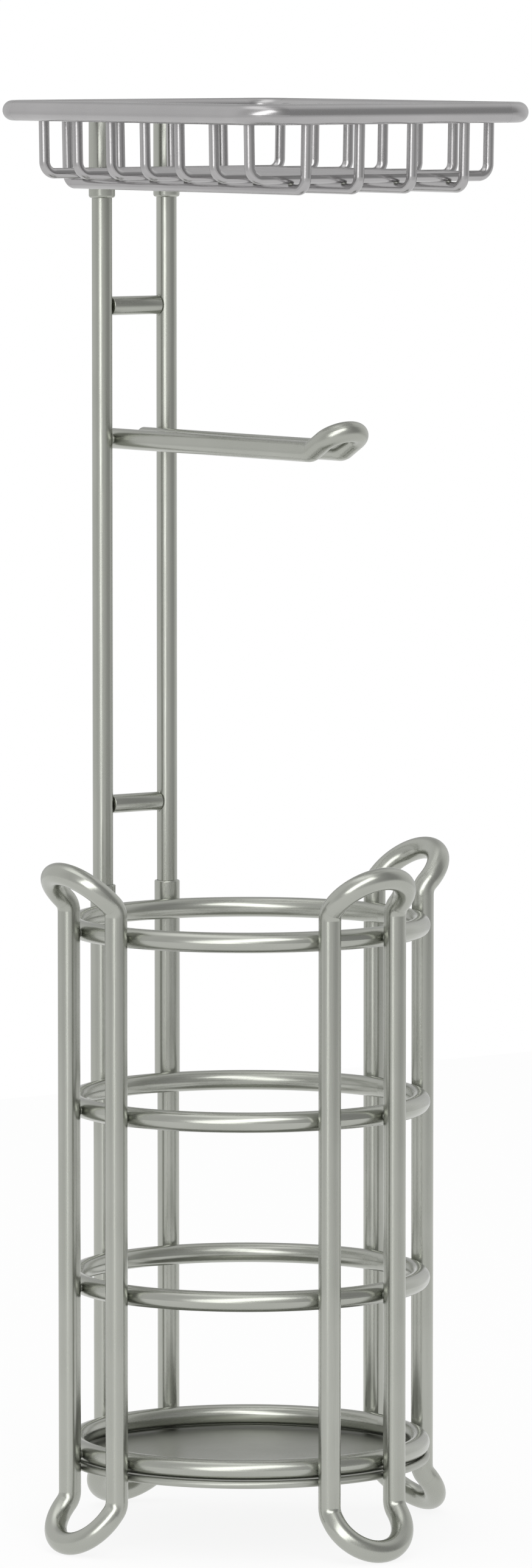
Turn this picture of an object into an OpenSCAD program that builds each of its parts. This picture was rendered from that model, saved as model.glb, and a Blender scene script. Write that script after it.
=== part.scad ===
// A free-standing toilet paper holder of bent metal tube. Four hairpin loops and four rings make
// a well for spare rolls, two posts rise from the back of it, and they carry a roll arm and a
// wire tray. The front is -Y, and the origin is on the floor on the middle axis of the rings.

/* [Stand] */
// Height of the whole stand, from the floor to the top of the tray
stand_height = 711.9; // [670:0.1:760]
// Diameter of the tube that the legs are bent from
leg_rod = 11; // [9:0.1:12.5]
// Distance from the middle axis to the plane of each leg
leg_plane = 94.4; // [85:0.1:105]
// Spacing of the two tubes of a leg, and of the two posts, centre to centre
gauge = 39.8; // [36:0.1:48]
// Height from the top ring to the bend at the top of a leg
leg_rise = 14.5; // [10:0.1:30]
// Centre-line radius of the tight bends in the leg tube
bend_radius = 8; // [7:0.1:9]
// Straight length between a tight bend and the round end of a leg
end_straight = 2; // [0.5:0.1:12]
// Outward lean of the round end at the top of a leg, in degrees
top_lean = 47; // [30:1:60]
// Outward lean of the round end at the foot of a leg, in degrees
foot_lean = 42; // [25:1:50]

/* [Rings] */
// Diameter of the rod that the rings are bent from
ring_rod = 10; // [8:0.1:12]
// Height of the lowest ring
base_ring_height = 45.3; // [40:0.1:60]
// Height from the lowest ring to the one above it
base_ring_step = 82.9; // [70:0.1:90]
// Height from each of the upper rings to the next
ring_step = 88.1; // [75:0.1:92]

/* [Base plate] */
// Thickness of the sheet under the spare rolls
plate_sheet = 1.4; // [0.8:0.1:2.5]
// Diameter of the rolled bead around the sheet
plate_bead = 3.8; // [3.4:0.1:6]

/* [Posts] */
// Diameter of the tube of the two posts
post_rod = 10.2; // [9:0.1:12]
// Wall of the sleeves that join the posts to the back leg
sleeve_wall = 1.1; // [0.8:0.1:2]
// Height of the sleeves above the top ring
sleeve_rise = 8.5; // [6:0.1:30]
// Wall of the sockets under the tray that take the posts
socket_wall = 1.35; // [0.8:0.05:2.5]
// Length of the sockets under the tray
socket_length = 39.4; // [36:0.1:55]
// Thickness of the closed upper end of the sockets
socket_cap = 2; // [1:0.1:4]
// Radius of the rounded edges of the sleeves and sockets
mouth_round = 0.7; // [0.3:0.05:0.75]
// Diameter of the two bars between the posts
bar_rod = 9.3; // [7:0.1:9.8]
// Height of the lower bar above the top ring
lower_bar_rise = 53.8; // [45:0.1:90]
// Depth of the upper bar below the centre line of the tray rim
upper_bar_drop = 98.3; // [80:0.1:120]

/* [Roll arm] */
// Diameter of the rod that the roll arm is bent from
arm_rod = 10.2; // [8:0.1:11.5]
// Depth of the roll arm below the centre line of the tray rim
arm_drop = 164.9; // [150:0.1:190]
// Distance from the middle axis forward to the bend at the end of the arm
arm_reach = 65.2; // [55:0.1:85]
// Upward lean of the round end of the arm, in degrees
arm_lean = 29; // [15:1:45]
// Straight length between the bend of the arm and its round end
arm_end_straight = 9.5; // [4:0.1:20]

/* [Tray] */
// Diameter of the tube of the tray rim
rim_rod = 10; // [8:0.1:12]
// Length of the rim from front to back, between centre lines
tray_length = 214.2; // [190:0.1:260]
// Width of the rim, between centre lines
tray_width = 165; // [140:0.1:200]
// Centre-line radius of the corners of the rim
corner_radius = 15; // [10:0.1:25]
// Diameter of the tray wires
wire = 5.2; // [3.5:0.1:6]
// Depth from the centre line of the rim to the centre line of the cross wires
tray_depth = 31; // [20:0.1:34]
// Centre-line radius of the bends in the wires
wire_bend = 6; // [5:0.1:9]
// Inward lean of the upright ends of the cross wires, in degrees
cross_lean = 1; // [0:0.5:8]
// Space between the rim and the upright ends of the cross wires, which turn outward to the rim
cross_inset = 1.9; // [1.6:0.1:4]
// Centre-line radius of the bend where a cross wire turns outward
toe_bend = 3.2; // [3.1:0.1:4]
// Inward lean of the upright ends of the long wires, in degrees
long_lean = 1.5; // [0:0.5:8]
// Distance from the front of the rim to the nearest cross wire
front_margin = 20.6; // [18:0.1:30]
// Distance from the back of the rim to the nearest cross wire
back_margin = 23.3; // [18:0.1:30]
// Distance from each side of the rim to the nearest long wire
side_margin = 34.6; // [22:0.1:42]

/* [Joints] */
// Gap left between pieces that are welded or pressed together
weld_gap = 0.12; // [0.05:0.01:0.25]
// Play of a post in its sleeve or socket, on the diameter
socket_play = 0.3; // [0.2:0.05:0.5]

/* [Hidden] */

$fn = 64;
// How far a cutting shape runs past the face that it opens
cut = 1;
// How far a straight length of rod runs into a bend, and how much thicker the rod is in its
// bends, so that the straight length ends inside the bend
run_in = 0.1;
bend_swell = 0.04;

nickel = "#a9a89c";
wire_nickel = "#a3a5a6";

// Heights
lower_ring_height = base_ring_height + base_ring_step;
middle_ring_height = lower_ring_height + ring_step;
top_ring_height = middle_ring_height + ring_step;
leg_bend_height = top_ring_height + leg_rise;
foot_reach = bend_radius * tan(foot_lean / 2) + end_straight + gauge / 2;
foot_bend_height = (leg_rod + bend_swell) / 2 + foot_reach * cos(foot_lean);
rim_height = stand_height - (rim_rod + bend_swell) / 2;

// The rings lie against the inner sides of the leg tubes
ring_radius = norm([leg_plane, gauge / 2]) - (leg_rod + ring_rod) / 2 - weld_gap;
plate_radius = ring_radius + ring_rod / 2;
bead_height = base_ring_height - (ring_rod + plate_bead) / 2 - weld_gap;

// The sleeves lie against the outer sides of the rings, and set where the posts stand
sleeve_od = post_rod + socket_play + 2 * sleeve_wall;
sleeve_bottom = middle_ring_height - ring_rod / 2;
sleeve_top = top_ring_height + ring_rod / 2 + sleeve_rise;
sleeve_reach = ring_radius + (ring_rod + sleeve_od) / 2 + weld_gap;
post_plane = sqrt(pow(sleeve_reach, 2) - pow(gauge / 2, 2));

// The back of the rim stands on the sockets, its inner side level with their front
socket_od = post_rod + socket_play + 2 * socket_wall;
socket_top = rim_height - rim_rod / 2 - weld_gap;
post_top = socket_top - socket_cap - weld_gap;
rim_back = post_plane - (socket_od - rim_rod) / 2;
tray_middle = rim_back - tray_length / 2;

// The arm passes between the posts and is welded to both
arm_gauge = gauge - post_rod - arm_rod - 2 * weld_gap;
arm_height = rim_height - arm_drop;
arm_back = post_plane + post_rod / 2;

// Wires of the tray
wire_seat = (rim_rod + wire) / 2 + weld_gap;
toe_seat = rim_rod / 2 + weld_gap;
cross_span = tray_width - 2 * (wire_seat + cross_inset);
long_depth = tray_depth + wire + weld_gap;
cross_count = 7;
long_count = 4;
cross_pitch = (tray_length - front_margin - back_margin) / (cross_count - 1);
long_pitch = (tray_width - 2 * side_margin) / (long_count - 1);

// A bend: part of a ring of the given centre-line radius, about Z from the X axis.
module rod_bend(rod, radius, angle) {
    rotate_extrude(angle = angle)
        translate([radius, 0])
            circle(d = rod + bend_swell);
}

// A straight length of rod along Z, whose ends run into the bends or are cut square.
module rod_run(rod, bottom, top) {
    translate([0, 0, bottom])
        cylinder(d = rod, h = top - bottom);
}

// Two parallel rods along Z, between two heights.
module rod_pair(rod, spacing, bottom, top) {
    for (side = [-1, 1])
        translate([side * spacing / 2, 0, 0])
            rod_run(rod, bottom, top);
}

// The round end of a hairpin. Its two rods come up along Z on either side of the origin, turn
// by the lean angle towards -Y in a tight bend, run straight and meet in a half circle. The
// corner of the tight bend is at the origin.
module hairpin_end(rod, spacing, lean, straight) {
    setback = bend_radius * tan(lean / 2);
    for (side = [-1, 1])
        translate([side * spacing / 2, -bend_radius, -setback])
            rotate([90, 0, 90])
                rod_bend(rod, bend_radius, lean);
    rotate([lean, 0, 0]) {
        rod_pair(rod, spacing, setback - run_in, setback + straight + run_in);
        translate([0, 0, setback + straight])
            rotate([90, 0, 0])
                rod_bend(rod, spacing / 2, 180);
    }
}

// The lower part of a leg: the two tubes up to the given height, and the foot on the floor.
module leg_foot(top) {
    setback = bend_radius * tan(foot_lean / 2);
    rod_pair(leg_rod, gauge, foot_bend_height + setback - run_in, top);
    translate([0, 0, foot_bend_height])
        mirror([0, 0, 1])
            hairpin_end(leg_rod, gauge, foot_lean, end_straight);
}

// One closed loop of tube, turned about the middle axis to its side of the stand.
module leg(turn) {
    setback = bend_radius * tan(top_lean / 2);
    color(nickel)
        rotate([0, 0, turn])
            translate([0, -leg_plane, 0]) {
                leg_foot(leg_bend_height - setback + run_in);
                translate([0, 0, leg_bend_height])
                    hairpin_end(leg_rod, gauge, top_lean, end_straight);
            }
}

// The back leg is only a foot: its tubes end under the sleeves.
module back_foot() {
    color(nickel)
        rotate([0, 0, 180])
            translate([0, -leg_plane, 0])
                leg_foot(sleeve_bottom - weld_gap);
}

module ring(height) {
    color(nickel)
        translate([0, 0, height])
            rotate_extrude()
                translate([ring_radius, 0])
                    circle(d = ring_rod);
}

// A thin round sheet whose edge is rolled into a bead, under the lowest ring.
module base_plate() {
    bead_radius = plate_radius - plate_bead / 2;
    color(nickel)
        translate([0, 0, bead_height]) {
            rotate_extrude()
                translate([bead_radius, 0])
                    circle(d = plate_bead);
            translate([0, 0, -plate_sheet / 2])
                cylinder(r = bead_radius, h = plate_sheet, $fn = 128);
        }
}

// Half the section of a round bar along Y whose far edge is rounded.
module rounded_section(diameter, length) {
    square([diameter / 2 - mouth_round, length]);
    square([diameter / 2, length - mouth_round]);
    translate([diameter / 2 - mouth_round, length - mouth_round])
        circle(r = mouth_round);
}

// A tube along Z for a post, with a rounded mouth at the top. The other end has a floor of the
// given thickness, or is open where that is 0.
module post_holder(diameter, length, floor) {
    color(nickel)
        difference() {
            rotate_extrude()
                rounded_section(diameter, length);
            translate([0, 0, floor > 0 ? floor : -cut])
                cylinder(d = post_rod + socket_play, h = length + cut);
        }
}

module sleeve(side) {
    translate([side * gauge / 2, post_plane, sleeve_bottom])
        post_holder(sleeve_od, sleeve_top - sleeve_bottom, 0);
}

module socket(side) {
    translate([side * gauge / 2, post_plane, socket_top])
        mirror([0, 0, 1])
            post_holder(socket_od, socket_length, socket_cap);
}

module post(side) {
    color(nickel)
        translate([side * gauge / 2, post_plane, sleeve_bottom])
            cylinder(d = post_rod, h = post_top - sleeve_bottom);
}

// A bar between the posts, with its ends hollowed to fit round them.
module post_bar(height) {
    color(nickel)
        translate([0, post_plane, height])
            difference() {
                rotate([0, 90, 0])
                    cylinder(d = bar_rod, h = gauge, center = true);
                translate([0, 0, -bar_rod / 2 - cut])
                    rod_pair(post_rod + 2 * weld_gap, gauge, 0, bar_rod + 2 * cut);
            }
}

// A narrow hairpin that lies level and turns up at its round end, so that a roll stays on.
module roll_arm() {
    setback = bend_radius * tan(arm_lean / 2);
    color(nickel)
        translate([0, -arm_reach, arm_height])
            rotate([-90, 0, 180]) {
                rod_pair(arm_rod, arm_gauge, -arm_reach - arm_back, run_in - setback);
                hairpin_end(arm_rod, arm_gauge, arm_lean, arm_end_straight);
            }
}

// The rim is one tube, bent at the four corners of a rectangle.
module tray_rim() {
    side_run = tray_length / 2 - corner_radius;
    end_run = tray_width / 2 - corner_radius;
    color(wire_nickel)
        translate([0, tray_middle, rim_height])
            for (turn = [0, 180])
                rotate([0, 0, turn]) {
                    translate([tray_width / 2, 0, 0])
                        rotate([90, 0, 0])
                            rod_run(rim_rod, -side_run - run_in, side_run + run_in);
                    translate([0, tray_length / 2, 0])
                        rotate([0, 90, 0])
                            rod_run(rim_rod, -end_run - run_in, end_run + run_in);
                    translate([end_run, side_run, 0])
                        rod_bend(rim_rod, corner_radius, 90);
                    translate([-end_run, side_run, 0])
                        rotate([0, 0, 90])
                            rod_bend(rim_rod, corner_radius, 90);
                }
}

// The outward end of a wire: a bend from the leaning upright, whose corner is at the origin, and
// a short level length along X.
module wire_toe(lean, setback, length) {
    translate([setback, 0, -toe_bend])
        rotate([90, -90, 0])
            rod_bend(wire, toe_bend, 90 - lean);
    rotate([0, 90, 0])
        rod_run(wire, setback - run_in, length);
}

// One wire of the tray along X: a flat bottom at the given depth and two ends that rise to the
// height of the origin, spread by the lean angle to the given span. Where a toe is given, the
// ends turn outward there and run on by that length.
module tray_wire(span, depth, lean, toe) {
    corner = span / 2 - depth * tan(lean);
    toe_setback = toe > 0 ? toe_bend * tan((90 - lean) / 2) - run_in : 0;
    setback = wire_bend * tan((90 - lean) / 2);
    flat = corner - setback;
    color(wire_nickel) {
        rotate([0, 90, 0])
            translate([depth, 0, 0])
                rod_run(wire, -flat - run_in, flat + run_in);
        for (side = [0, 1])
            mirror([side, 0, 0]) {
                translate([flat, 0, wire_bend - depth])
                    rotate([90, 90, 0])
                        rod_bend(wire, wire_bend, 90 - lean);
                translate([corner, 0, -depth])
                    rotate([0, lean, 0])
                        rod_run(wire, setback - run_in, depth / cos(lean) - toe_setback);
                if (toe > 0)
                    translate([span / 2, 0, 0])
                        wire_toe(lean, toe_setback + run_in, toe);
            }
    }
}

module cross_wire(number) {
    offset_y = front_margin - tray_length / 2 + (number - 1) * cross_pitch;
    translate([0, tray_middle + offset_y, rim_height])
        tray_wire(cross_span, tray_depth, cross_lean, (tray_width - cross_span) / 2 - toe_seat);
}

module long_wire(number) {
    offset_x = (number - (long_count + 1) / 2) * long_pitch;
    translate([offset_x, tray_middle, rim_height])
        rotate([0, 0, 90])
            tray_wire(tray_length - 2 * wire_seat, long_depth, long_lean, 0);
}

leg(-90);  // left_leg
leg(0);  // front_leg
leg(90);  // right_leg
back_foot();
ring(base_ring_height);  // base_ring
ring(lower_ring_height);  // lower_ring
ring(middle_ring_height);  // middle_ring
ring(top_ring_height);  // top_ring
base_plate();
sleeve(-1);  // left_sleeve
sleeve(1);  // right_sleeve
post(-1);  // left_post
post(1);  // right_post
post_bar(top_ring_height + lower_bar_rise);  // lower_bar
post_bar(rim_height - upper_bar_drop);  // upper_bar
roll_arm();
socket(-1);  // left_socket
socket(1);  // right_socket
tray_rim();
long_wire(1);  // long_wire_1
long_wire(2);  // long_wire_2
long_wire(3);  // long_wire_3
long_wire(4);  // long_wire_4
cross_wire(1);  // cross_wire_1
cross_wire(2);  // cross_wire_2
cross_wire(3);  // cross_wire_3
cross_wire(4);  // cross_wire_4
cross_wire(5);  // cross_wire_5
cross_wire(6);  // cross_wire_6
cross_wire(7);  // cross_wire_7
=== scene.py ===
# %% [markdown]
# # A free-standing toilet paper holder
#
# The stand is bent from metal tube and plated in satin nickel. Its tubes, rings, wires and plate
# come from the engineering model, at their real size. This lesson gives them their finish, makes
# a few pieces again whose edges need more care, adds the small welds that hold the stand
# together, and sets it in a plain studio.

import math

import bmesh
import bpy
from mathutils import Matrix, Vector


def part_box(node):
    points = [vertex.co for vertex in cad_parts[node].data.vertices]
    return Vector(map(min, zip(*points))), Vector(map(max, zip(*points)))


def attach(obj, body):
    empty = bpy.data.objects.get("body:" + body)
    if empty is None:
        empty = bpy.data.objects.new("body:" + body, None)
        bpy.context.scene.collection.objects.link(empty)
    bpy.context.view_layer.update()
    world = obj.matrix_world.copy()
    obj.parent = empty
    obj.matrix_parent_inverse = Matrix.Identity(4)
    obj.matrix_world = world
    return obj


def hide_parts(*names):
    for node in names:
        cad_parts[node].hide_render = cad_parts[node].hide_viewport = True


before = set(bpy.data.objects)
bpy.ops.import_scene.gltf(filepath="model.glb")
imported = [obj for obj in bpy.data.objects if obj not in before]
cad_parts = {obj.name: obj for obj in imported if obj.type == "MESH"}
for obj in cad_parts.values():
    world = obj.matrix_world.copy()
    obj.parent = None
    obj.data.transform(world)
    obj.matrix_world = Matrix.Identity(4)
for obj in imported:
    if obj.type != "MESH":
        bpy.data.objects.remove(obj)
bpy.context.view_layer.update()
print("pieces from the engineering model:", len(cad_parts))

# %% [markdown]
# Everything that follows is placed from the stand itself. The box of each piece gives its middle
# and its size, and the box of a tube gives its diameter. Reading them here, once, keeps numbers
# out of the later steps: if the stand is made taller, the welds move with it.

# %% Read the main sizes
BODY = "root"
RINGS = ["base_ring", "lower_ring", "middle_ring", "top_ring"]
LEGS = {"left_leg": 180, "front_leg": 270, "right_leg": 0, "back_foot": 90}
LONG_WIRES = sorted(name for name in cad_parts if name.startswith("long_wire"))
CROSS_WIRES = sorted(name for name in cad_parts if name.startswith("cross_wire"))


def middle(name):
    low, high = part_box(name)
    return (Vector(low) + Vector(high)) / 2


def size(name):
    low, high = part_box(name)
    return Vector(high) - Vector(low)


post_gap = middle("right_post").x - middle("left_post").x
post_rod = size("left_post").x
leg_rod = size("front_leg").x - post_gap
ring_rod = size("top_ring").z
ring_outer = size("top_ring").x / 2
wire_rod = size(CROSS_WIRES[0]).y
rim_rod = size("tray_rim").z
print("post", round(post_rod, 4), "post spacing", round(post_gap, 4))
print("leg tube", round(leg_rod, 4), "ring", round(ring_rod, 4), "reach", round(ring_outer, 4))
print("rim tube", round(rim_rod, 4), "wire", round(wire_rod, 4))

# %% [markdown]
# ## Satin nickel
#
# Nickel plate is a warm grey metal. The tube is polished along its length before it is plated,
# which leaves fine lines, and the bath leaves the plate very slightly uneven. A painted grey
# would do from far away, but it has no reflections. A metallic shader whose roughness and bump
# follow the polishing lines gives the soft streaks that satin metal has. The lines are a noise
# texture stretched along the tube, so the first helper turns a point of the metal into a point
# of the noise, long along one direction and short across it.

# %% The direction of the polish
def add_node(tree, kind, **settings):
    node = tree.nodes.new(kind)
    for name, value in settings.items():
        setattr(node, name, value)
    return node


LINE_STRETCH = 0.02
AXES = {"x": (LINE_STRETCH, 1, 1), "y": (1, LINE_STRETCH, 1), "z": (1, 1, LINE_STRETCH)}


def polish_vector(tree, along):
    """Coordinates that are stretched along the tube: x, y, z, or round the middle axis."""
    place = add_node(tree, "ShaderNodeTexCoord")
    if along in AXES:
        stretch = add_node(tree, "ShaderNodeMapping")
        stretch.inputs["Scale"].default_value = AXES[along]
        tree.links.new(place.outputs["Object"], stretch.inputs["Vector"])
        return place.outputs["Object"], stretch.outputs["Vector"]
    split = add_node(tree, "ShaderNodeSeparateXYZ")
    tree.links.new(place.outputs["Object"], split.inputs["Vector"])
    turn = add_node(tree, "ShaderNodeMath", operation="ARCTAN2")
    tree.links.new(split.outputs["Y"], turn.inputs[0])
    tree.links.new(split.outputs["X"], turn.inputs[1])
    slow = add_node(tree, "ShaderNodeMath", operation="MULTIPLY")
    slow.inputs[1].default_value = ring_outer * LINE_STRETCH
    tree.links.new(turn.outputs["Value"], slow.inputs[0])
    level = add_node(tree, "ShaderNodeCombineXYZ")
    tree.links.new(split.outputs["X"], level.inputs["X"])
    tree.links.new(split.outputs["Y"], level.inputs["Y"])
    reach = add_node(tree, "ShaderNodeVectorMath", operation="LENGTH")
    tree.links.new(level.outputs["Vector"], reach.inputs[0])
    joined = add_node(tree, "ShaderNodeCombineXYZ")
    tree.links.new(reach.outputs["Value"], joined.inputs["X"])
    tree.links.new(slow.outputs["Value"], joined.inputs["Y"])
    tree.links.new(split.outputs["Z"], joined.inputs["Z"])
    return place.outputs["Object"], joined.outputs["Vector"]


print("the polishing lines are", round(1 / LINE_STRETCH), "times as long as they are wide")

# %% [markdown]
# The finish has three scales. Clouds a few centimetres across shift the colour and the roughness
# a little, as uneven plating and handling do. Polishing lines a fraction of a millimetre apart
# roughen the shine. A fine grain under them breaks up the sharpest reflections. All three are
# noise textures. A noise seldom comes near 0 or 1, so its middle part is spread over the range
# that is wanted.

# %% Noise and bumps
CLOUDS = {"scale": 28, "detail": 3}
LINES = {"scale": 2600, "detail": 2}
GRAIN = {"scale": 5200, "detail": 1}
NOISE_MIDDLE = (0.35, 0.65)
BUMP_DEPTH = 0.0002


def noise(tree, vector, scale, detail):
    texture = add_node(tree, "ShaderNodeTexNoise")
    texture.inputs["Scale"].default_value = scale
    texture.inputs["Detail"].default_value = detail
    tree.links.new(vector, texture.inputs["Vector"])
    return texture.outputs["Fac"]


def spread(tree, value, low, high):
    """Spreads the middle of a noise over a range of values."""
    ramp = add_node(tree, "ShaderNodeMapRange")
    ramp.inputs["From Min"].default_value, ramp.inputs["From Max"].default_value = NOISE_MIDDLE
    ramp.inputs["To Min"].default_value = low
    ramp.inputs["To Max"].default_value = high
    tree.links.new(value, ramp.inputs["Value"])
    return ramp.outputs["Result"]


def bump(tree, height, strength):
    node = add_node(tree, "ShaderNodeBump")
    node.inputs["Strength"].default_value = strength
    node.inputs["Distance"].default_value = BUMP_DEPTH
    tree.links.new(height, node.inputs["Height"])
    return node


print("clouds repeat about every", round(1000 / CLOUDS["scale"]), "mm")

# %% [markdown]
# One function makes every finish of the stand, so they differ only in their tone, in how rough
# they are and in the way their lines run. The tone goes from a clean grey to a duller one across
# the clouds. The roughness follows the clouds too, and each line adds or takes away a little.

# %% The plated finish
LINE_ROUGHNESS = 0.03
LINE_BUMP = 0.05
GRAIN_BUMP = 0.02


def plated(name, tone, dull_tone, roughness, along):
    material = bpy.data.materials.new(name)
    material.use_nodes = True
    tree = material.node_tree
    shader = tree.nodes["Principled BSDF"]
    shader.inputs["Metallic"].default_value = 1
    place, lined = polish_vector(tree, along)
    clouds = noise(tree, place, **CLOUDS)
    lines = noise(tree, lined, **LINES)
    grain = noise(tree, place, **GRAIN)

    blend = add_node(tree, "ShaderNodeMix", data_type="RGBA")
    blend.inputs["A"].default_value = (*tone, 1)
    blend.inputs["B"].default_value = (*dull_tone, 1)
    tree.links.new(spread(tree, clouds, 0, 1), blend.inputs["Factor"])
    tree.links.new(blend.outputs["Result"], shader.inputs["Base Color"])

    total = add_node(tree, "ShaderNodeMath", operation="ADD")
    tree.links.new(spread(tree, clouds, *roughness), total.inputs[0])
    tree.links.new(spread(tree, lines, -LINE_ROUGHNESS, LINE_ROUGHNESS), total.inputs[1])
    tree.links.new(total.outputs["Value"], shader.inputs["Roughness"])

    fine = bump(tree, grain, GRAIN_BUMP)
    ridges = bump(tree, lines, LINE_BUMP)
    tree.links.new(fine.outputs["Normal"], ridges.inputs["Normal"])
    tree.links.new(ridges.outputs["Normal"], shader.inputs["Normal"])
    print("finish", name, "lines", along)
    return material


# %% [markdown]
# The frame and the tray are plated in two batches. The frame is a touch greener, the tray a touch
# bluer. The thin wires are drawn smooth, the tube is a little rougher, and the sheet of the plate
# and the welds are duller still. The welds also carry the darker tone all over. Part of that is
# the duller metal of a weld, and part is painted shade for the crevices between the rods where
# they sit.

# %% The finishes of the stand
FRAME_TONE = (0.425, 0.435, 0.397)
FRAME_DULL = (0.40, 0.41, 0.372)
WIRE_TONE = (0.442, 0.436, 0.437)
WIRE_DULL = (0.418, 0.411, 0.414)
WIRE_ROUGHNESS = (0.20, 0.25)
TUBE_ROUGHNESS = (0.22, 0.27)
PLATE_ROUGHNESS = (0.36, 0.42)
WELD_ROUGHNESS = (0.42, 0.48)

upright_nickel = plated("nickel_upright", FRAME_TONE, FRAME_DULL, TUBE_ROUGHNESS, "z")
ring_nickel = plated("nickel_ring", FRAME_TONE, FRAME_DULL, TUBE_ROUGHNESS, "round")
bar_nickel = plated("nickel_bar", FRAME_TONE, FRAME_DULL, TUBE_ROUGHNESS, "x")
arm_nickel = plated("nickel_arm", FRAME_TONE, FRAME_DULL, TUBE_ROUGHNESS, "y")
plate_nickel = plated("nickel_plate", FRAME_TONE, FRAME_DULL, PLATE_ROUGHNESS, "round")
rim_nickel = plated("nickel_rim", WIRE_TONE, WIRE_DULL, TUBE_ROUGHNESS, "y")
cross_nickel = plated("nickel_cross_wire", WIRE_TONE, WIRE_DULL, WIRE_ROUGHNESS, "x")
long_nickel = plated("nickel_long_wire", WIRE_TONE, WIRE_DULL, WIRE_ROUGHNESS, "y")
# The welds take the dull tone all over: partly weld metal, partly painted shade of the crevices
# they fill.
weld_nickel_and_crevice_shade = plated("nickel_weld_and_crevice_shade", FRAME_DULL, FRAME_DULL, WELD_ROUGHNESS, "z")

# %% [markdown]
# Each piece of the stand now gets the finish whose lines run along it. The finish could be chosen
# by hand for all thirty pieces. Their names already say what they are, so a short table does it.

# %% Dress the pieces of the stand
FINISHES = {
    "ring": ring_nickel, "plate": plate_nickel, "bar": bar_nickel, "arm": arm_nickel,
    "rim": rim_nickel, "cross_wire": cross_nickel, "long_wire": long_nickel,
}


def finish_of(name):
    for part, material in FINISHES.items():
        if part in name:
            return material
    return upright_nickel


for name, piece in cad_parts.items():
    material = finish_of(name)
    for slot in piece.material_slots:
        slot.material = material
    print(name, "->", material.name)

# %% [markdown]
# ## Making new pieces
#
# Every new piece of the stand is built as a bmesh and then handed over in the same way: its faces
# are smoothed, its sharp edges kept, its finish and its body named. Edges are told apart by the
# angle between their faces. A modifier could split them too, but marking them leaves the mesh
# closed.

# %% Hand a piece over
def make_piece(name, bm, material, crease=math.pi):
    """Hands the mesh over as a piece. Edges that turn by more than the crease angle stay sharp."""
    for face in bm.faces:
        face.smooth = True
    for edge in bm.edges:
        edge.smooth = edge.calc_face_angle(0) < crease
    open_edges = [edge for edge in bm.edges if len(edge.link_faces) != 2]
    mesh = bpy.data.meshes.new(name)
    bm.to_mesh(mesh)
    bm.free()
    mesh.materials.append(material)
    piece = bpy.data.objects.new(name, mesh)
    bpy.context.scene.collection.objects.link(piece)
    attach(piece, BODY)
    print(name, len(mesh.polygons), "faces", len(open_edges), "open edges")
    return piece


# %% [markdown]
# ## The welds of the rings
#
# Where two rods cross, they are pressed together and a current melts the spot between them. It
# leaves a small flattened bead. A bead is a ball of a few dozen faces, squashed along the line
# that joins the two rods, and all the beads of one kind are one mesh. The size of a bead is
# given by its radius and its thickness.

# %% A helper for beads
BEAD_DETAIL = 2


def add_bead(bm, spot, across, radius, thickness):
    """A flattened ball at the spot. It is thin along the direction across the joint."""
    turn = Vector(across).to_track_quat("Z", "Y").to_matrix().to_4x4()
    squash = Matrix.Diagonal((radius, radius, thickness, 1))
    place = Matrix.Translation(spot) @ turn @ squash
    bmesh.ops.create_icosphere(bm, subdivisions=BEAD_DETAIL, radius=1, matrix=place)


def shares(rod, bead):
    """The radius and thickness of a bead that is given in parts of its rod."""
    return [rod * part for part in bead]


# %% [markdown]
# The rings lie against the tubes of the legs and, at the back, against the sleeves and the foot.
# Seen from above, the two rods of a leg lie on either side of its middle line, so the direction
# of each joint is found from the spacing of the rods and the reach of the ring.

# %% Welds of the rings
RING_BEAD = (0.24, 0.03)


def ring_joints(ring):
    """The directions, in radians about the middle axis, in which a ring meets a tube."""
    height = middle(ring).z
    joints = []
    for leg, heading in LEGS.items():
        low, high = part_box(leg)
        if not low[2] < height < high[2]:
            continue
        side = math.asin(post_gap / 2 / (ring_outer + leg_rod / 2))
        joints += [math.radians(heading) + side, math.radians(heading) - side]
    for sleeve in ("left_sleeve", "right_sleeve"):
        low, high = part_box(sleeve)
        if low[2] < height < high[2]:
            joints.append(math.atan2(middle(sleeve).y, middle(sleeve).x))
    return joints


bm = bmesh.new()
for ring in RINGS:
    for angle in ring_joints(ring):
        outward = Vector((math.cos(angle), math.sin(angle), 0))
        spot = outward * ring_outer + Vector((0, 0, middle(ring).z))
        add_bead(bm, spot, outward, *shares(ring_rod, RING_BEAD))
make_piece("ring_welds", bm, weld_nickel_and_crevice_shade)

# %% [markdown]
# ## The base plate
#
# The spare rolls stand on a thin round sheet whose edge is rolled into a bead. The bead is only a
# few millimetres thick and mirrors the lamp in one fine line, so the small flats of the
# engineering mesh would break that line up. The plate is therefore spun again, with more faces:
# a circle for the bead is opened where the sheet meets it, its two open ends are drawn in to the
# middle axis, and the section is turned round that axis.

# %% The rolled plate
SHEET = 0.0014
BEAD_STEPS = 40
PLATE_STEPS = 240
PLATE_CREASE = math.radians(25)
SAME_SPOT = 0.000001

bead = size("base_plate").z
bead_reach = size("base_plate").x / 2 - bead / 2
bm = bmesh.new()
stand_up = Matrix.Translation((bead_reach, 0, 0)) @ Matrix.Rotation(math.pi / 2, 4, "X")
bmesh.ops.create_circle(bm, segments=BEAD_STEPS, radius=bead / 2, matrix=stand_up)
buried = [vert for vert in bm.verts if vert.co.x < bead_reach and abs(vert.co.z) < SHEET / 2]
bmesh.ops.delete(bm, geom=buried, context="VERTS")
for end in [vert for vert in bm.verts if len(vert.link_edges) == 1]:
    end.co.z = math.copysign(SHEET / 2, end.co.z)
    drawn = bmesh.ops.extrude_vert_indiv(bm, verts=[end])["verts"][0]
    drawn.co.x = 0
bmesh.ops.spin(
    bm, geom=bm.verts[:] + bm.edges[:], cent=(0, 0, 0), axis=(0, 0, 1),
    angle=math.tau, steps=PLATE_STEPS, use_merge=True,
)
bmesh.ops.remove_doubles(bm, verts=bm.verts, dist=SAME_SPOT)
bmesh.ops.recalc_face_normals(bm, faces=bm.faces)
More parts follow.
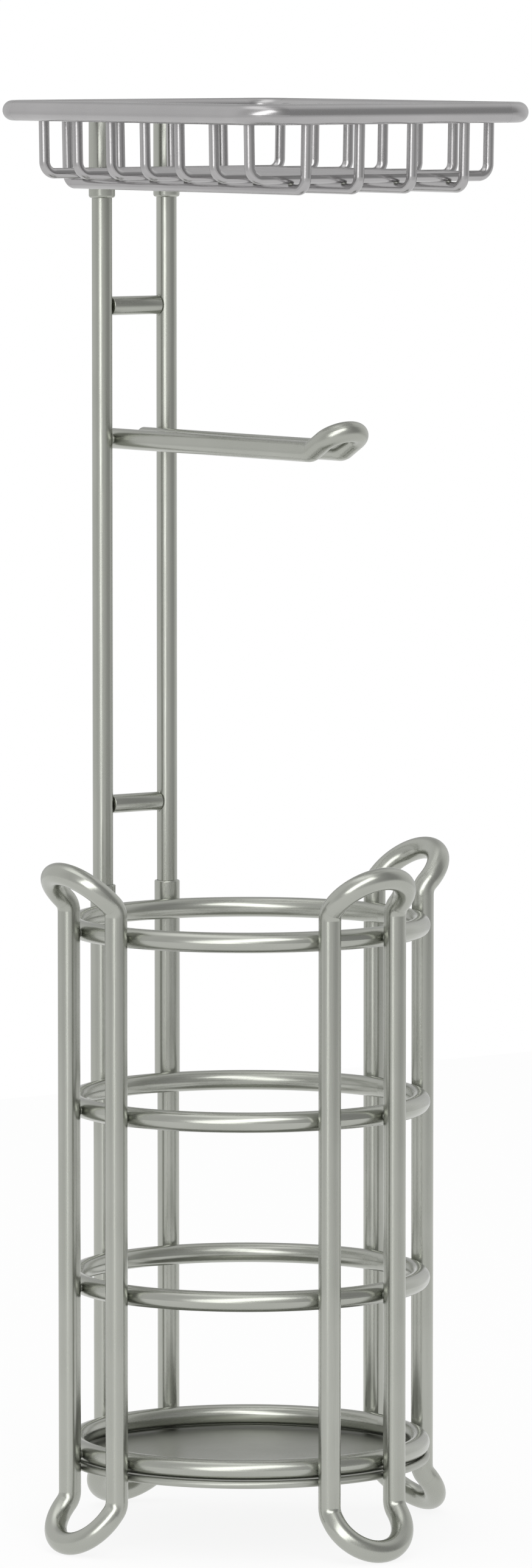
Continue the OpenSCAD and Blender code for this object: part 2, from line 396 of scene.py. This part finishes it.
bmesh.ops.translate(bm, verts=bm.verts, vec=middle("base_plate"))
rolled_plate = make_piece("rolled_plate", bm, plate_nickel, PLATE_CREASE)
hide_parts("base_plate")
print("bead", round(bead, 4), "plate radius", round(bead_reach, 4))

# %% [markdown]
# ## The bars between the posts
#
# In the engineering model the two bars are hollowed at their ends to fit round the posts. On the
# finished stand they are cut off square, and only the line down the middle of each end touches
# the post, which leaves a narrow shadow on either side. A Boolean could trim the old bars, but a
# square bar is simpler to make new: the cone tool with two equal radii gives a closed rod, and a
# small bevel breaks its sharp edges. The bars lie flush with the backs of the posts, because the
# frame lies on its back on a flat table while it is welded.

# %% The square-cut bars
BAR_STEPS = 48
BAR_SEAT = 0.0001
BAR_BEVEL = 0.0004
BAR_BEVEL_STEPS = 3
ROD_CREASE = math.radians(40)


def make_rod(diameter, length, steps):
    """A closed upright rod, its middle at the origin, with its lower and upper end faces."""
    bm = bmesh.new()
    bmesh.ops.create_cone(
        bm, cap_ends=True, segments=steps, radius1=diameter / 2, radius2=diameter / 2, depth=length
    )
    ends = [face for face in bm.faces if len(face.verts) == steps]
    return bm, sorted(ends, key=lambda face: face.calc_center_median().z)


def round_edges(bm, edges, offset, steps):
    bmesh.ops.bevel(
        bm, geom=edges, offset=offset, segments=steps, profile=0.5, affect="EDGES", material=-1
    )


def make_bar(name, node):
    bar_rod = size(node).z
    bar_length = post_gap - post_rod - 2 * BAR_SEAT
    bm, (first, last) = make_rod(bar_rod, bar_length, BAR_STEPS)
    round_edges(bm, first.edges[:] + last.edges[:], BAR_BEVEL, BAR_BEVEL_STEPS)
    flush = Vector((0, (post_rod - bar_rod) / 2, 0))
    lie = Matrix.Translation(middle(node) + flush) @ Matrix.Rotation(math.pi / 2, 4, "Y")
    bmesh.ops.transform(bm, verts=bm.verts, matrix=lie)
    bar = make_piece(name, bm, bar_nickel, ROD_CREASE)
    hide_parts(node)
    print(name, "length", round(bar_length, 4), "thickness", round(bar_rod, 4))


make_bar("lower_crossbar", "lower_bar")
make_bar("upper_crossbar", "upper_bar")

# %% [markdown]
# ## The cups under the tray
#
# Each post plugs into a cup under the tray. The mouth of a real cup is rounded over its whole
# wall, so that no hand catches on it, more than in the engineering model. A lathe profile would
# give that too. Here a closed rod is made first, the face at its lower end is inset by the wall
# and pushed up to make the bore, and the outer edges are beveled, the lip far more than the top.

# %% The rounded cups
CUP_STEPS = 64
CUP_PLAY = 0.0003
CUP_LIP = 0.0013
CUP_LIFT = 0.0003
CUP_SHOULDER = 0.0004
CUP_BEVEL_STEPS = 6


def make_cup(name, node, post):
    cup_rod = size(node).x
    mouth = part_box(node)[0][2] + CUP_LIFT
    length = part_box(node)[1][2] - mouth
    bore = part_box(post)[1][2] - mouth + CUP_PLAY / 2
    wall = (cup_rod - post_rod - CUP_PLAY) / 2
    bm, (bottom, top) = make_rod(cup_rod, length, CUP_STEPS)
    lip, shoulder = bottom.edges[:], top.edges[:]
    bmesh.ops.inset_region(bm, faces=[bottom], thickness=wall, use_even_offset=True)
    pushed = bmesh.ops.extrude_discrete_faces(bm, faces=[bottom])["faces"][0]
    bmesh.ops.translate(bm, verts=pushed.verts, vec=(0, 0, bore))
    round_edges(bm, lip, CUP_LIP, CUP_BEVEL_STEPS)
    round_edges(bm, shoulder, CUP_SHOULDER, CUP_BEVEL_STEPS)
    bmesh.ops.translate(bm, verts=bm.verts, vec=middle(node) + Vector((0, 0, CUP_LIFT / 2)))
    cup = make_piece(name, bm, upright_nickel, ROD_CREASE)
    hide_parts(node)
    print(name, "wall", round(wall, 5), "bore", round(bore, 4))


make_cup("left_cup", "left_socket", "left_post")
make_cup("right_cup", "right_socket", "right_post")

# %% [markdown]
# ## The welds of the upper frame and the tray
#
# Each bar is held by a short bead on top and one below, where its end touches the post. The two
# rods of the roll arm run between the posts, and each is welded to the post beside it by one
# larger bead.

# %% Welds of the bars and the arm
BAR_BEAD = (0.0011, 0.0005)
BAR_BEAD_LIFT = 0.47
ARM_BEAD = (0.0030, 0.0009)

post_face = (post_gap - post_rod) / 2
bm = bmesh.new()
for node in ("lower_bar", "upper_bar"):
    for side in (-1, 1):
        for end in (-1, 1):
            lift = Vector((side * post_face, 0, end * size(node).z * BAR_BEAD_LIFT))
            add_bead(bm, middle(node) + lift, (1, 0, 0), *BAR_BEAD)
arm_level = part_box("roll_arm")[0][2] + post_rod / 2
for side in (-1, 1):
    spot = Vector((side * post_face, middle("left_post").y, arm_level))
    add_bead(bm, spot, (1, 0, 0), *ARM_BEAD)
make_piece("bar_welds", bm, weld_nickel_and_crevice_shade)

# %% [markdown]
# The wires of the tray are welded wherever they cross, and their ends to the inside of the rim.
# The tray stands on its two cups, so there is a bead between each of them and the rim too.

# %% Welds of the tray
CROSSING_BEAD = (0.3, 0.1)
CROSS_END_BEAD = (0.46, 0.10)
LONG_END_BEAD = (0.36, 0.14)
LONG_END_DROP = 0.3
CUP_BEAD = (0.0042, 0.0008)

rim_middle = middle("tray_rim")
rim_half = size("tray_rim") / 2
bm = bmesh.new()
for cross in CROSS_WIRES:
    for long in LONG_WIRES:
        spot = Vector((middle(long).x, middle(cross).y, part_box(cross)[0][2]))
        add_bead(bm, spot, (0, 0, 1), *shares(wire_rod, CROSSING_BEAD))
for cross in CROSS_WIRES:
    for side in (-1, 1):
        spot = Vector((side * (rim_half.x - rim_rod), middle(cross).y, rim_middle.z))
        add_bead(bm, spot, (1, 0, 0), *shares(wire_rod, CROSS_END_BEAD))
for long in LONG_WIRES:
    for side in (-1, 1):
        end = rim_middle.y + side * (rim_half.y - rim_rod)
        spot = Vector((middle(long).x, end, rim_middle.z - wire_rod * LONG_END_DROP))
        add_bead(bm, spot, (0, 1, 0), *shares(wire_rod, LONG_END_BEAD))
for socket in ("left_socket", "right_socket"):
    back = rim_middle.y + rim_half.y - rim_rod / 2
    spot = Vector((middle(socket).x, back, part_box(socket)[1][2]))
    add_bead(bm, spot, (0, 0, 1), *CUP_BEAD)
make_piece("tray_welds", bm, weld_nickel_and_crevice_shade)

# %% [markdown]
# ## The studio
#
# The stand is seen from the front and left, from a little above its own height, through a long
# lens. A long lens far away keeps the upright tubes parallel.

# %% The camera
CAMERA_REACH = 4.4028
CAMERA_HEIGHT = 0.7669
CAMERA_SIDE = math.radians(36.46)
CAMERA_DIP = math.radians(5.095)
CAMERA_TURN = math.radians(0.12)
SENSOR_HEIGHT = 24
LENS_LENGTH = 136.59
VIEW_DEPTH = 60

ahead = Vector((-math.sin(CAMERA_SIDE), -math.cos(CAMERA_SIDE), 0))
eye = ahead * CAMERA_REACH + Vector((0, 0, CAMERA_HEIGHT))
lens = bpy.data.cameras.new("camera")
lens.sensor_fit = "VERTICAL"
lens.sensor_height = SENSOR_HEIGHT
lens.lens = LENS_LENGTH
lens.clip_end = VIEW_DEPTH
camera = bpy.data.objects.new("camera", lens)
camera.location = eye
camera.rotation_euler = (math.pi / 2 - CAMERA_DIP, 0, -CAMERA_SIDE - CAMERA_TURN)
bpy.context.scene.collection.objects.link(camera)
bpy.context.scene.camera = camera
print("camera at", tuple(round(v, 3) for v in eye))

# %% [markdown]
# The floor is a plain pale board. It ends not far from the stand, so the upright tubes mirror
# the darker room beyond its edge as well. An endless board would fill the lower half of each
# reflection with white.

# %% The floor
FLOOR_REACH = 1.5

bm = bmesh.new()
bmesh.ops.create_grid(bm, x_segments=1, y_segments=1, size=FLOOR_REACH)
floor_mesh = bpy.data.meshes.new("floor")
bm.to_mesh(floor_mesh)
bm.free()
floor = bpy.data.objects.new("floor", floor_mesh)
bpy.context.scene.collection.objects.link(floor)
print("floor", 2 * FLOOR_REACH, "m across")

# %% [markdown]
# The camera and the metal see the board close to white, and to other light it is an ordinary matt
# surface, so that it still takes the shadow of the stand. Stronger lamps on white paint could do
# it too, but they would wash the stand out. The Light Path node tells which kind of ray has
# arrived, and two Maximum nodes join the kinds that see the glow.

# %% The surface of the floor
FLOOR_WHITE = 0.95
FLOOR_SHARE = 0.87


def grey(value):
    return (value, value, value, 1)


def join(tree, kind, first, second):
    node = add_node(tree, "ShaderNodeMath", operation=kind)
    tree.links.new(first, node.inputs[0])
    tree.links.new(second, node.inputs[1])
    return node.outputs["Value"]


pale = bpy.data.materials.new("pale_floor")
pale.use_nodes = True
tree = pale.node_tree
tree.nodes.clear()
matt = add_node(tree, "ShaderNodeBsdfDiffuse")
matt.inputs["Color"].default_value = grey(FLOOR_WHITE)
glow = add_node(tree, "ShaderNodeEmission")
ray = add_node(tree, "ShaderNodeLightPath")
mirrored = join(tree, "MAXIMUM", ray.outputs["Is Glossy Ray"], ray.outputs["Is Transmission Ray"])
share = add_node(tree, "ShaderNodeMath", operation="MULTIPLY")
share.inputs[1].default_value = FLOOR_SHARE
tree.links.new(join(tree, "MAXIMUM", ray.outputs["Is Camera Ray"], mirrored), share.inputs[0])
mixed = add_node(tree, "ShaderNodeMixShader")
tree.links.new(share.outputs["Value"], mixed.inputs["Fac"])
tree.links.new(matt.outputs["BSDF"], mixed.inputs[1])
tree.links.new(glow.outputs["Emission"], mixed.inputs[2])
out = add_node(tree, "ShaderNodeOutputMaterial")
tree.links.new(mixed.outputs["Shader"], out.inputs["Surface"])
floor_mesh.materials.append(pale)
print("the floor's own white is", FLOOR_WHITE, "and its glow has a share of", FLOOR_SHARE)

# %% [markdown]
# Metal shows what stands round it, so the room matters as much as the lamps. In a product studio
# that is white paper close behind the object, pale walls, and black cards that draw the dark
# bands on the metal. A panorama of such a room could be wrapped round the scene. Here colour
# ramps round the compass do the same. They need to know where a ray is going: its height, and
# its bearing, counted to the right from the camera's side.

# %% The bearings of the room
world = bpy.data.worlds.new("studio")
bpy.context.scene.world = world
world.use_nodes = True
tree = world.node_tree
tree.nodes.clear()
place = add_node(tree, "ShaderNodeTexCoord")
right = Vector((math.cos(CAMERA_SIDE), -math.sin(CAMERA_SIDE), 0))


def going(direction):
    """How far a ray goes in this direction."""
    node = add_node(tree, "ShaderNodeVectorMath", operation="DOT_PRODUCT")
    node.inputs[1].default_value = direction
    tree.links.new(place.outputs["Generated"], node.inputs[0])
    return node.outputs["Value"]


height = going(Vector((0, 0, 1)))
bearing = add_node(tree, "ShaderNodeMapRange")
bearing.inputs["From Min"].default_value = -math.pi
bearing.inputs["From Max"].default_value = math.pi
tree.links.new(join(tree, "ARCTAN2", going(right), going(ahead)), bearing.inputs["Value"])
print("the camera's side of the room faces", tuple(round(v, 3) for v in ahead))

# %% [markdown]
# The walls and the cards are a list of bearings in degrees and of the brightness there, so each
# can be moved by one number. The ceiling is a bright diffuser that hangs over the left of the
# room, and has a list of its own. A ramp holds nothing brighter than white, so the ceiling's is
# made darker by its peak, and is scaled up again later.

# %% The walls and the ceiling
WALLS = [
    (-180, 0.54), (-160, 0.62), (-140, 0.86), (-90, 0.88), (-55, 0.70), (-35, 0.78), (25, 0.72),
    (45, 0.52), (66, 0.40), (86, 0.40), (106, 0.78), (140, 0.92), (162, 0.70), (180, 0.54),
]
CEILING = [
    (-180, 1.10), (-140, 1.30), (-110, 1.58), (-88, 1.70), (-60, 1.55), (0, 1.60), (20, 1.45),
    (45, 0.95), (70, 0.78), (100, 0.60), (140, 0.65), (165, 0.95), (180, 1.10),
]
CEILING_PEAK = max(value for degrees, value in CEILING)


def round_the_room(brightness, peak):
    """A ramp round the compass, from a list of bearings and the brightness there."""
    ramp = add_node(tree, "ShaderNodeValToRGB")
    stops = ramp.color_ramp.elements
    while len(stops) < len(brightness):
        stops.new(position=0.5)
    for stop, (degrees, value) in zip(stops, brightness):
        stop.position = (degrees + 180) / 360
        stop.color = grey(value / peak)
    tree.links.new(bearing.outputs["Result"], ramp.inputs["Fac"])
    print("bearings in the ramp:", len(stops))
    return ramp.outputs["Color"]


walls = round_the_room(WALLS, 1)
roof = add_node(tree, "ShaderNodeVectorMath", operation="SCALE")
roof.inputs["Scale"].default_value = CEILING_PEAK
tree.links.new(round_the_room(CEILING, CEILING_PEAK), roof.inputs["Vector"])

# %% [markdown]
# The room is layered by height. From 50 degrees up the walls give way to the ceiling, softly, and
# a little below the horizon to the glow of the floor. Straight behind the stand there is the
# paper, as white as the camera sees it, and the metal mirrors it too.

# %% The layers of the room
CEILING_EDGE = (math.sin(math.radians(50)), math.sin(math.radians(78)))
FLOOR_EDGE = (-0.05, -0.25)
FLOOR_GLOW = 0.82
PAPER_SPREAD = math.radians(9)


def layer(below, edge, softness="LINEAR"):
    """Mixes from the colour below it to its own, over a range of heights."""
    part = add_node(tree, "ShaderNodeMapRange", interpolation_type=softness)
    part.inputs["From Min"].default_value, part.inputs["From Max"].default_value = edge
    tree.links.new(height, part.inputs["Value"])
    mix = add_node(tree, "ShaderNodeMix", data_type="RGBA")
    tree.links.new(part.outputs["Result"], mix.inputs["Factor"])
    tree.links.new(below, mix.inputs["A"])
    return mix


raised = layer(walls, CEILING_EDGE, "SMOOTHSTEP")
tree.links.new(roof.outputs["Vector"], raised.inputs["B"])
lowered = layer(raised.outputs["Result"], FLOOR_EDGE)
lowered.inputs["B"].default_value = grey(FLOOR_GLOW)
surround = add_node(tree, "ShaderNodeBackground")
tree.links.new(lowered.outputs["Result"], surround.inputs["Color"])

paper = add_node(tree, "ShaderNodeBackground")
paper.inputs["Color"].default_value = grey(1)
behind = add_node(tree, "ShaderNodeMath", operation="GREATER_THAN")
behind.inputs[1].default_value = math.cos(PAPER_SPREAD)
tree.links.new(going(-ahead), behind.inputs[0])
ray = add_node(tree, "ShaderNodeLightPath")
mirrored = join(tree, "MAXIMUM", ray.outputs["Is Glossy Ray"], ray.outputs["Is Transmission Ray"])
paper_in_metal = join(tree, "MULTIPLY", behind.outputs["Value"], mirrored)
white = join(tree, "MAXIMUM", ray.outputs["Is Camera Ray"], paper_in_metal)

mixed = add_node(tree, "ShaderNodeMixShader")
tree.links.new(white, mixed.inputs["Fac"])
tree.links.new(surround.outputs["Background"], mixed.inputs[1])
tree.links.new(paper.outputs["Background"], mixed.inputs[2])
out = add_node(tree, "ShaderNodeOutputWorld")
tree.links.new(mixed.outputs["Shader"], out.inputs["Surface"])
print("the paper behind the stand spans", round(math.degrees(2 * PAPER_SPREAD)), "degrees")

# %% [markdown]
# One long soft lamp stands behind the camera and reaches well above it, with its top leaning to
# the right. It draws the bright line on every tube. The metal mirrors its outline, so its width
# sets how wide that line is. Its power follows from its area, so that its face is a little more
# than twice as bright as white paper.

# %% The lamp
LAMP_AIM = Vector((0, 0, 0.36))
LAMP_REACH = 6.0
LAMP_BEARING = math.radians(-4)
LAMP_RISE = math.radians(25)
LAMP_LEAN = math.radians(46)
LAMP_WIDTH = 3.0
LAMP_HEIGHT = 8.2
LAMP_BRIGHTNESS = 2.25

turn = CAMERA_SIDE - LAMP_BEARING
level = LAMP_REACH * math.cos(LAMP_RISE)
rise = LAMP_REACH * math.sin(LAMP_RISE)
spot = LAMP_AIM + Vector((-math.sin(turn) * level, -math.cos(turn) * level, rise))
soft_box = bpy.data.lights.new("soft_box", "AREA")
soft_box.shape = "RECTANGLE"
soft_box.size = LAMP_WIDTH
soft_box.size_y = LAMP_HEIGHT
soft_box.energy = LAMP_BRIGHTNESS * LAMP_WIDTH * LAMP_HEIGHT * math.pi
lamp = bpy.data.objects.new("soft_box", soft_box)
lamp.location = spot
facing_aim = (LAMP_AIM - spot).to_track_quat("-Z", "Y").to_matrix()
lamp.rotation_euler = (facing_aim @ Matrix.Rotation(-LAMP_LEAN, 3, "Z")).to_euler()
bpy.context.scene.collection.objects.link(lamp)
print("lamp power in watts:", round(soft_box.energy))

# %% [markdown]
# The last cell sets the colour view to Standard.

# %% Finish
bpy.context.scene.view_settings.view_transform = "Standard"
